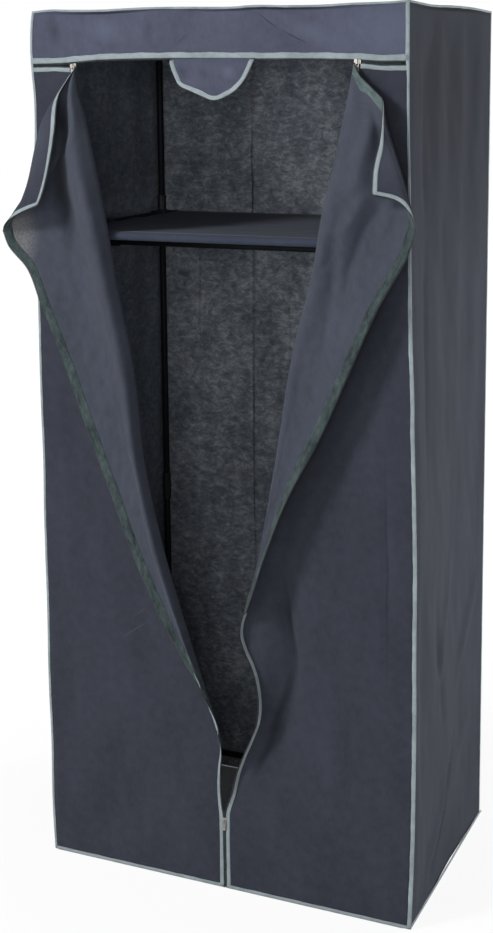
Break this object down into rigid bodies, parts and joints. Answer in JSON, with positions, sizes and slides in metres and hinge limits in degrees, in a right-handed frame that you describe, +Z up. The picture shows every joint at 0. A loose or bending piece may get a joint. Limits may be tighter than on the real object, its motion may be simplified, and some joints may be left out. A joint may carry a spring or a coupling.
{
  "type": "portable fabric wardrobe",
  "caption": "Tall free-standing wardrobe: plug-together tube frame with a shelf and a hanging rail under a sewn cloth cover whose two zipped front doors are folded open.",
  "frame": {"origin": "on the floor, under the middle of the wardrobe with its doors folded open", "axes": "+Z up, -Y towards the front with the doors, +X to the right as seen from the front"},
  "size_m": [0.7914, 0.538, 1.6],
  "materials": {
    "frame_steel": "satin black powder coat",
    "connector_plastic": "fine moulded texture",
    "cover_cloth": "blue-grey non-woven cloth, matt",
    "cover_inside": "mottled non-woven cloth, matt",
    "shelf_cloth": "smooth dark cloth",
    "zip_metal": "plated zinc"
  },
  "bodies": {
    "root": {"bottom_connector_front_left": "connector_plastic", "bottom_connector_front_right": "connector_plastic", "bottom_connector_rear_right": "connector_plastic", "bottom_connector_rear_left": "connector_plastic", "shelf_connector_front_left": "connector_plastic", "shelf_connector_front_right": "connector_plastic", "shelf_connector_rear_right": "connector_plastic", "shelf_connector_rear_left": "connector_plastic", "top_connector_front_left": "connector_plastic", "top_connector_front_right": "connector_plastic", "top_connector_rear_right": "connector_plastic", "top_connector_rear_left": "connector_plastic", "post_coupler_front_left": "connector_plastic", "post_coupler_front_right": "connector_plastic", "post_coupler_rear_right": "connector_plastic", "post_coupler_rear_left": "connector_plastic", "lower_post_front_left": "frame_steel", "lower_post_front_right": "frame_steel", "lower_post_rear_right": "frame_steel", "lower_post_rear_left": "frame_steel", "middle_post_front_left": "frame_steel", "middle_post_front_right": "frame_steel", "middle_post_rear_right": "frame_steel", "middle_post_rear_left": "frame_steel", "upper_post_front_left": "frame_steel", "upper_post_front_right": "frame_steel", "upper_post_rear_right": "frame_steel", "upper_post_rear_left": "frame_steel", "bottom_tube_front": "frame_steel", "bottom_tube_rear": "frame_steel", "bottom_tube_left": "frame_steel", "bottom_tube_right": "frame_steel", "shelf_tube_front": "frame_steel", "shelf_tube_rear": "frame_steel", "shelf_tube_left": "frame_steel", "shelf_tube_right": "frame_steel", "top_tube_front": "frame_steel", "top_tube_rear": "frame_steel", "top_tube_left": "frame_steel", "top_tube_right": "frame_steel", "rail_holder_left": "connector_plastic", "rail_holder_right": "connector_plastic", "hanging_rail": "frame_steel", "top_panel": "cover_cloth", "header_valance": "cover_cloth", "left_side_panel": "cover_cloth", "right_side_panel": "cover_cloth", "back_panel": "cover_inside", "left_door": "cover_cloth", "right_door": "cover_cloth", "shelf_cloth": "shelf_cloth"},
    "left_flap": {"left_flap": "cover_inside"},
    "right_flap": {"right_flap": "cover_inside"},
    "header_tab": {"header_tab": "cover_cloth"},
    "centre_slider": {"centre_slider": "zip_metal"},
    "centre_pull": {"centre_pull": "zip_metal"},
    "top_left_slider": {"top_left_slider": "zip_metal"},
    "top_left_pull": {"top_left_pull": "zip_metal"},
    "top_right_slider": {"top_right_slider": "zip_metal"},
    "top_right_pull": {"top_right_pull": "zip_metal"}
  },
  "joints": [
    {"name": "left_door_fold", "type": "hinge", "parent": "root", "child": "left_flap", "pos_m": [-0.258, -0.2104, 1.478], "axis": [-0.2148, 0, 0.9767], "range_deg": [0, 120]},
    {"name": "right_door_fold", "type": "hinge", "parent": "root", "child": "right_flap", "pos_m": [0.269, -0.2104, 1.478], "axis": [-0.2085, 0, -0.978], "range_deg": [0, 120]},
    {"name": "header_tab_lift", "type": "hinge", "parent": "root", "child": "header_tab", "pos_m": [0.012, -0.2019, 1.52], "axis": [-1, 0, 0], "range_deg": [0, 120]},
    {"name": "centre_slider_travel", "type": "slide", "parent": "root", "child": "centre_slider", "axis": [0, 0, 1], "range_m": [-0.112, 0]},
    {"name": "centre_pull_swing", "type": "hinge", "parent": "centre_slider", "child": "centre_pull", "pos_m": [0.02, -0.20345, 0.1346], "axis": [-1, 0, 0], "range_deg": [0, 160]},
    {"name": "top_left_slider_travel", "type": "slide", "parent": "root", "child": "top_left_slider", "axis": [1, 0, 0], "range_m": [0, 0.271]},
    {"name": "top_left_pull_swing", "type": "hinge", "parent": "top_left_slider", "child": "top_left_pull", "pos_m": [-0.261, -0.20345, 1.5101], "axis": [-1, 0, 0], "range_deg": [0, 160]},
    {"name": "top_right_slider_travel", "type": "slide", "parent": "root", "child": "top_right_slider", "axis": [-1, 0, 0], "range_m": [0, 0.249]},
    {"name": "top_right_pull_swing", "type": "hinge", "parent": "top_right_slider", "child": "top_right_pull", "pos_m": [0.279, -0.20345, 1.5101], "axis": [-1, 0, 0], "range_deg": [0, 160]}
  ]
}
